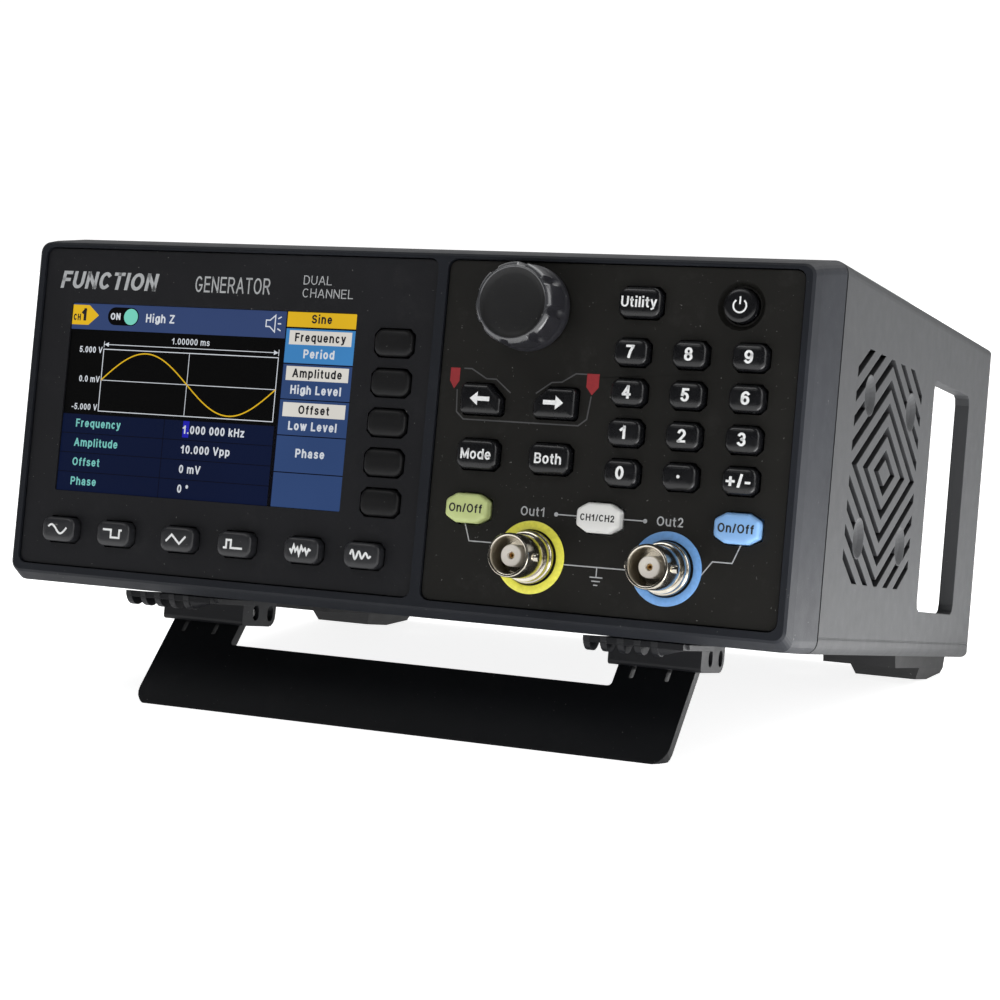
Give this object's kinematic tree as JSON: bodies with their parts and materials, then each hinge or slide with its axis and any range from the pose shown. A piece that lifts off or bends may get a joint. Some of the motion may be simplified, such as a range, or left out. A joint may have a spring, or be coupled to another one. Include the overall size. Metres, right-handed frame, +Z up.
{
  "type": "function generator",
  "caption": "Bench function generator on a fold-out tilt stand, with a display, sprung keys, a rotary knob and bayonet outputs on the front.",
  "frame": {"origin": "centre of the bounding box at table level, under the instrument as it stands on its unfolded stand", "axes": "+X to the right of someone who faces the display, +Y towards the rear, +Z up; the case is tipped back by 8.2 degrees"},
  "size_m": [0.2, 0.1946, 0.1117],
  "materials": {
    "case_plastic": "fine grained charcoal",
    "front_plastic": "satin near-black",
    "panel_plastic": "fine grained black",
    "screen_glass": "dark glossy window",
    "dark_key": "satin black",
    "grey_key": "fine grained dark grey",
    "green_key": "pale yellow-green",
    "white_key": "off-white",
    "blue_key": "mid blue",
    "knob_plastic": "grey, shiny edge ring",
    "membrane_rubber": "plain grey",
    "board": "green solder resist",
    "plated_steel": "bright plated",
    "nickel": "nickel plated",
    "rear_metal": "painted sheet",
    "black_plastic": "moulded black",
    "foot_plastic": "satin dark grey",
    "foot_rubber": "matt dark grey"
  },
  "bodies": {
    "instrument": {"front_bezel": "front_plastic", "display_panel": "panel_plastic", "keypad_panel": "panel_plastic", "lcd_window": "screen_glass", "lcd_module": "plated_steel", "keypad_membrane": "membrane_rubber", "key_board": "board", "encoder": "plated_steel", "output_socket_1": "nickel", "output_socket_2": "nickel", "top_cover": "case_plastic", "bottom_cover": "case_plastic", "main_board": "board", "power_supply": "board", "rear_panel": "rear_metal", "mains_inlet": "black_plastic", "usb_port": "plated_steel", "rear_socket": "nickel", "left_front_foot": "foot_plastic", "right_front_foot": "foot_plastic", "left_hinge_pin": "plated_steel", "right_hinge_pin": "plated_steel", "left_rear_foot": "foot_rubber", "right_rear_foot": "foot_rubber"},
    "stand": {"tilt_stand": "foot_plastic"},
    "knob": {"knob": "knob_plastic"},
    "mains_rocker": {"mains_rocker": "black_plastic"},
    "soft_key_1": {"soft_key_1": "dark_key"},
    "soft_key_2": {"soft_key_2": "dark_key"},
    "soft_key_3": {"soft_key_3": "dark_key"},
    "soft_key_4": {"soft_key_4": "dark_key"},
    "soft_key_5": {"soft_key_5": "dark_key"},
    "sine_key": {"sine_key": "grey_key"},
    "square_key": {"square_key": "grey_key"},
    "ramp_key": {"ramp_key": "grey_key"},
    "pulse_key": {"pulse_key": "grey_key"},
    "noise_key": {"noise_key": "grey_key"},
    "arbitrary_key": {"arbitrary_key": "grey_key"},
    "digit_7_key": {"digit_7_key": "dark_key"},
    "digit_8_key": {"digit_8_key": "dark_key"},
    "digit_9_key": {"digit_9_key": "dark_key"},
    "digit_4_key": {"digit_4_key": "dark_key"},
    "digit_5_key": {"digit_5_key": "dark_key"},
    "digit_6_key": {"digit_6_key": "dark_key"},
    "digit_1_key": {"digit_1_key": "dark_key"},
    "digit_2_key": {"digit_2_key": "dark_key"},
    "digit_3_key": {"digit_3_key": "dark_key"},
    "digit_0_key": {"digit_0_key": "dark_key"},
    "point_key": {"point_key": "dark_key"},
    "sign_key": {"sign_key": "dark_key"},
    "left_key": {"left_key": "dark_key"},
    "right_key": {"right_key": "dark_key"},
    "mode_key": {"mode_key": "dark_key"},
    "both_key": {"both_key": "dark_key"},
    "utility_key": {"utility_key": "dark_key"},
    "channel_1_key": {"channel_1_key": "green_key"},
    "channel_select_key": {"channel_select_key": "white_key"},
    "channel_2_key": {"channel_2_key": "blue_key"},
    "power_button": {"power_button": "dark_key"}
  },
  "joints": [
    {"name": "stand_hinge", "type": "hinge", "parent": "instrument", "child": "stand", "pos_m": [0, -0.05345, 0.02073], "axis": [1, 0, 0], "range_deg": [0, 126]},
    {"name": "knob_turn", "type": "hinge", "parent": "instrument", "child": "knob", "pos_m": [0.0333, -0.07706, 0.09898], "axis": [0, 0.9898, -0.1422], "continuous": true},
    {"name": "mains_switch", "type": "hinge", "parent": "instrument", "child": "mains_rocker", "pos_m": [-0.066, 0.02358, 0.06816], "axis": [1, 0, 0], "range_deg": [-14, 0]},
    {"name": "soft_key_1_press", "type": "slide", "parent": "instrument", "child": "soft_key_1", "axis": [0, 0.9898, -0.1422], "range_m": [0, 0.001], "stiffness_N_per_m": 300, "springref_m": -0.002},
    {"name": "soft_key_2_press", "type": "slide", "parent": "instrument", "child": "soft_key_2", "axis": [0, 0.9898, -0.1422], "range_m": [0, 0.001], "stiffness_N_per_m": 300, "springref_m": -0.002},
    {"name": "soft_key_3_press", "type": "slide", "parent": "instrument", "child": "soft_key_3", "axis": [0, 0.9898, -0.1422], "range_m": [0, 0.001], "stiffness_N_per_m": 300, "springref_m": -0.002},
    {"name": "soft_key_4_press", "type": "slide", "parent": "instrument", "child": "soft_key_4", "axis": [0, 0.9898, -0.1422], "range_m": [0, 0.001], "stiffness_N_per_m": 300, "springref_m": -0.002},
    {"name": "soft_key_5_press", "type": "slide", "parent": "instrument", "child": "soft_key_5", "axis": [0, 0.9898, -0.1422], "range_m": [0, 0.001], "stiffness_N_per_m": 300, "springref_m": -0.002},
    {"name": "sine_key_press", "type": "slide", "parent": "instrument", "child": "sine_key", "axis": [0, 0.9898, -0.1422], "range_m": [0, 0.001], "stiffness_N_per_m": 300, "springref_m": -0.002},
    {"name": "square_key_press", "type": "slide", "parent": "instrument", "child": "square_key", "axis": [0, 0.9898, -0.1422], "range_m": [0, 0.001], "stiffness_N_per_m": 300, "springref_m": -0.002},
    {"name": "ramp_key_press", "type": "slide", "parent": "instrument", "child": "ramp_key", "axis": [0, 0.9898, -0.1422], "range_m": [0, 0.001], "stiffness_N_per_m": 300, "springref_m": -0.002},
    {"name": "pulse_key_press", "type": "slide", "parent": "instrument", "child": "pulse_key", "axis": [0, 0.9898, -0.1422], "range_m": [0, 0.001], "stiffness_N_per_m": 300, "springref_m": -0.002},
    {"name": "noise_key_press", "type": "slide", "parent": "instrument", "child": "noise_key", "axis": [0, 0.9898, -0.1422], "range_m": [0, 0.001], "stiffness_N_per_m": 300, "springref_m": -0.002},
    {"name": "arbitrary_key_press", "type": "slide", "parent": "instrument", "child": "arbitrary_key", "axis": [0, 0.9898, -0.1422], "range_m": [0, 0.001], "stiffness_N_per_m": 300, "springref_m": -0.002},
    {"name": "digit_7_key_press", "type": "slide", "parent": "instrument", "child": "digit_7_key", "axis": [0, 0.9898, -0.1422], "range_m": [0, 0.001], "stiffness_N_per_m": 300, "springref_m": -0.002},
    {"name": "digit_8_key_press", "type": "slide", "parent": "instrument", "child": "digit_8_key", "axis": [0, 0.9898, -0.1422], "range_m": [0, 0.001], "stiffness_N_per_m": 300, "springref_m": -0.002},
    {"name": "digit_9_key_press", "type": "slide", "parent": "instrument", "child": "digit_9_key", "axis": [0, 0.9898, -0.1422], "range_m": [0, 0.001], "stiffness_N_per_m": 300, "springref_m": -0.002},
    {"name": "digit_4_key_press", "type": "slide", "parent": "instrument", "child": "digit_4_key", "axis": [0, 0.9898, -0.1422], "range_m": [0, 0.001], "stiffness_N_per_m": 300, "springref_m": -0.002},
    {"name": "digit_5_key_press", "type": "slide", "parent": "instrument", "child": "digit_5_key", "axis": [0, 0.9898, -0.1422], "range_m": [0, 0.001], "stiffness_N_per_m": 300, "springref_m": -0.002},
    {"name": "digit_6_key_press", "type": "slide", "parent": "instrument", "child": "digit_6_key", "axis": [0, 0.9898, -0.1422], "range_m": [0, 0.001], "stiffness_N_per_m": 300, "springref_m": -0.002},
    {"name": "digit_1_key_press", "type": "slide", "parent": "instrument", "child": "digit_1_key", "axis": [0, 0.9898, -0.1422], "range_m": [0, 0.001], "stiffness_N_per_m": 300, "springref_m": -0.002},
    {"name": "digit_2_key_press", "type": "slide", "parent": "instrument", "child": "digit_2_key", "axis": [0, 0.9898, -0.1422], "range_m": [0, 0.001], "stiffness_N_per_m": 300, "springref_m": -0.002},
    {"name": "digit_3_key_press", "type": "slide", "parent": "instrument", "child": "digit_3_key", "axis": [0, 0.9898, -0.1422], "range_m": [0, 0.001], "stiffness_N_per_m": 300, "springref_m": -0.002},
    {"name": "digit_0_key_press", "type": "slide", "parent": "instrument", "child": "digit_0_key", "axis": [0, 0.9898, -0.1422], "range_m": [0, 0.001], "stiffness_N_per_m": 300, "springref_m": -0.002},
    {"name": "point_key_press", "type": "slide", "parent": "instrument", "child": "point_key", "axis": [0, 0.9898, -0.1422], "range_m": [0, 0.001], "stiffness_N_per_m": 300, "springref_m": -0.002},
    {"name": "sign_key_press", "type": "slide", "parent": "instrument", "child": "sign_key", "axis": [0, 0.9898, -0.1422], "range_m": [0, 0.001], "stiffness_N_per_m": 300, "springref_m": -0.002},
    {"name": "left_key_press", "type": "slide", "parent": "instrument", "child": "left_key", "axis": [0, 0.9898, -0.1422], "range_m": [0, 0.001], "stiffness_N_per_m": 300, "springref_m": -0.002},
    {"name": "right_key_press", "type": "slide", "parent": "instrument", "child": "right_key", "axis": [0, 0.9898, -0.1422], "range_m": [0, 0.001], "stiffness_N_per_m": 300, "springref_m": -0.002},
    {"name": "mode_key_press", "type": "slide", "parent": "instrument", "child": "mode_key", "axis": [0, 0.9898, -0.1422], "range_m": [0, 0.001], "stiffness_N_per_m": 300, "springref_m": -0.002},
    {"name": "both_key_press", "type": "slide", "parent": "instrument", "child": "both_key", "axis": [0, 0.9898, -0.1422], "range_m": [0, 0.001], "stiffness_N_per_m": 300, "springref_m": -0.002},
    {"name": "utility_key_press", "type": "slide", "parent": "instrument", "child": "utility_key", "axis": [0, 0.9898, -0.1422], "range_m": [0, 0.001], "stiffness_N_per_m": 300, "springref_m": -0.002},
    {"name": "channel_1_key_press", "type": "slide", "parent": "instrument", "child": "channel_1_key", "axis": [0, 0.9898, -0.1422], "range_m": [0, 0.001], "stiffness_N_per_m": 300, "springref_m": -0.002},
    {"name": "channel_select_key_press", "type": "slide", "parent": "instrument", "child": "channel_select_key", "axis": [0, 0.9898, -0.1422], "range_m": [0, 0.001], "stiffness_N_per_m": 300, "springref_m": -0.002},
    {"name": "channel_2_key_press", "type": "slide", "parent": "instrument", "child": "channel_2_key", "axis": [0, 0.9898, -0.1422], "range_m": [0, 0.001], "stiffness_N_per_m": 300, "springref_m": -0.002},
    {"name": "power_button_press", "type": "slide", "parent": "instrument", "child": "power_button", "axis": [0, 0.9898, -0.1422], "range_m": [0, 0.001], "stiffness_N_per_m": 300, "springref_m": -0.002}
  ]
}
